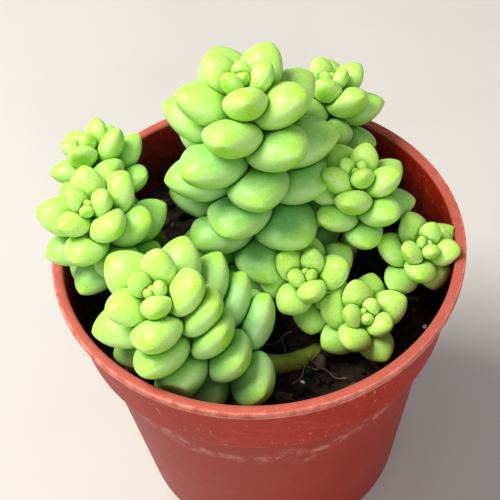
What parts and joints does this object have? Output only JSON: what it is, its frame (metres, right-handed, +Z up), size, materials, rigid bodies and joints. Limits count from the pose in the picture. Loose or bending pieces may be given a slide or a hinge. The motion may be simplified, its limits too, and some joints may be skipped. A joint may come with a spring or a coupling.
{
  "type": "potted burros tail",
  "caption": "Burro's tail succulent: plump, pointed leaves spiralling round several leaning shoots, rooted in dark soil in a tapered round plastic nursery pot with a rolled rim.",
  "frame": {"origin": "middle of the pot's underside, on the plane the pot stands on", "axes": "+Z up along the pot's axis, -Y towards the side where one stem lies bare on the soil, +X to the right seen from there"},
  "size_m": [0.105, 0.105, 0.1311],
  "materials": {
    "pot_plastic": "moulded terracotta-red polypropylene, satin, scuffed, with dried water marks",
    "peat_soil": "damp dark peat, crumbly and matte, with flecks of perlite and fibre",
    "shoot_flesh": "green living stem with a waxy skin, ringed by leaf scars",
    "leaf_flesh": "plump living leaf, waxy, satin, with a pale bloom"
  },
  "bodies": {
    "root": {"back_leaf_01": "leaf_flesh", "back_leaf_02": "leaf_flesh", "back_leaf_03": "leaf_flesh", "back_leaf_04": "leaf_flesh", "back_shoot": "shoot_flesh", "front_left_leaf_01": "leaf_flesh", "front_left_leaf_02": "leaf_flesh", "front_left_leaf_03": "leaf_flesh", "front_left_leaf_04": "leaf_flesh", "front_left_leaf_05": "leaf_flesh", "front_left_leaf_06": "leaf_flesh", "front_left_leaf_07": "leaf_flesh", "front_left_leaf_08": "leaf_flesh", "front_left_leaf_09": "leaf_flesh", "front_left_shoot": "shoot_flesh", "left_back_leaf_01": "leaf_flesh", "left_back_leaf_02": "leaf_flesh", "left_back_leaf_03": "leaf_flesh", "left_back_shoot": "shoot_flesh", "left_leaf_01": "leaf_flesh", "left_leaf_02": "leaf_flesh", "left_leaf_03": "leaf_flesh", "left_leaf_04": "leaf_flesh", "left_leaf_05": "leaf_flesh", "left_leaf_06": "leaf_flesh", "left_leaf_07": "leaf_flesh", "left_shoot": "shoot_flesh", "main_leaf_01": "leaf_flesh", "main_leaf_02": "leaf_flesh", "main_leaf_03": "leaf_flesh", "main_leaf_04": "leaf_flesh", "main_leaf_05": "leaf_flesh", "main_leaf_06": "leaf_flesh", "main_leaf_07": "leaf_flesh", "main_leaf_08": "leaf_flesh", "main_leaf_09": "leaf_flesh", "main_leaf_10": "leaf_flesh", "main_leaf_11": "leaf_flesh", "main_leaf_12": "leaf_flesh", "main_shoot": "shoot_flesh", "middle_leaf_01": "leaf_flesh", "middle_leaf_02": "leaf_flesh", "middle_leaf_03": "leaf_flesh", "middle_shoot": "shoot_flesh", "pot": "pot_plastic", "potting_soil": "peat_soil", "right_back_leaf_01": "leaf_flesh", "right_back_leaf_02": "leaf_flesh", "right_back_leaf_03": "leaf_flesh", "right_back_leaf_04": "leaf_flesh", "right_back_shoot": "shoot_flesh", "right_front_leaf_01": "leaf_flesh", "right_front_leaf_02": "leaf_flesh", "right_front_leaf_03": "leaf_flesh", "right_front_shoot": "shoot_flesh", "right_leaf_01": "leaf_flesh", "right_leaf_02": "leaf_flesh", "right_leaf_03": "leaf_flesh", "right_leaf_04": "leaf_flesh", "right_shoot": "shoot_flesh"}
  },
  "joints": []
}
